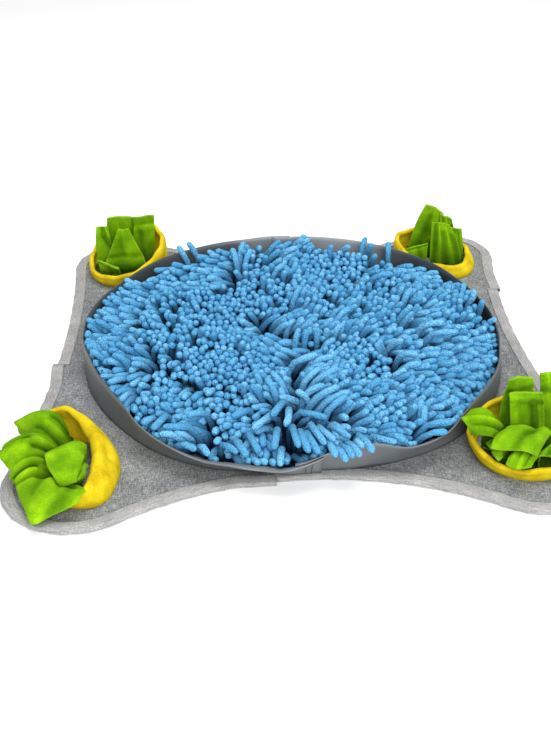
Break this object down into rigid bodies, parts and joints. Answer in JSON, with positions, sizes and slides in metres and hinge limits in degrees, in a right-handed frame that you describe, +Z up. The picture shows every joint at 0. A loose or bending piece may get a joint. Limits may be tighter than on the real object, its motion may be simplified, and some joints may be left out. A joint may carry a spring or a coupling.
{
  "type": "snuffle mat",
  "caption": "Flat lobed cloth mat with a round walled tray of shaggy noodle pile and fleece-filled corner cups, in which dry treats are hidden for a pet to sniff out.",
  "frame": {"origin": "centre of the round tray, on the flat underside that lies on the floor", "axes": "+Z up out of the pile, +X to the mat's right and +Y to its back; the noodles that fall over the wall are at its front, -Y"},
  "size_m": [0.5289, 0.5478, 0.076],
  "materials": {
    "grey_melange_cloth": "matte mottled weave",
    "grey_binding_tape": "matte ribbed tape",
    "grey_wall_cloth": "smooth, slightly glossy coated cloth",
    "blue_chenille": "fuzzy matte",
    "yellow_fleece": "brushed matte",
    "green_fleece": "brushed matte"
  },
  "bodies": {
    "root": {"binding_back_left": "grey_binding_tape", "binding_back_right": "grey_binding_tape", "binding_front_left": "grey_binding_tape", "binding_front_right": "grey_binding_tape", "leaf_back_left_a": "green_fleece", "leaf_back_left_b": "green_fleece", "leaf_back_left_c": "green_fleece", "leaf_back_left_d": "green_fleece", "leaf_back_left_e": "green_fleece", "leaf_back_right_a": "green_fleece", "leaf_back_right_b": "green_fleece", "leaf_back_right_c": "green_fleece", "leaf_back_right_d": "green_fleece", "leaf_back_right_e": "green_fleece", "leaf_front_left_a": "green_fleece", "leaf_front_left_b": "green_fleece", "leaf_front_left_c": "green_fleece", "leaf_front_left_d": "green_fleece", "leaf_front_left_e": "green_fleece", "leaf_front_right_a": "green_fleece", "leaf_front_right_b": "green_fleece", "leaf_front_right_c": "green_fleece", "leaf_front_right_d": "green_fleece", "leaf_front_right_e": "green_fleece", "leaf_front_right_f": "green_fleece", "leaf_front_right_g": "green_fleece", "leaf_front_right_h": "green_fleece", "mat_panel": "grey_melange_cloth", "noodle_pile": "blue_chenille", "pocket_back_left": "yellow_fleece", "pocket_back_right": "yellow_fleece", "pocket_front_left": "yellow_fleece", "pocket_front_right": "yellow_fleece", "wall_left": "grey_wall_cloth", "wall_right": "grey_wall_cloth"}
  },
  "joints": []
}
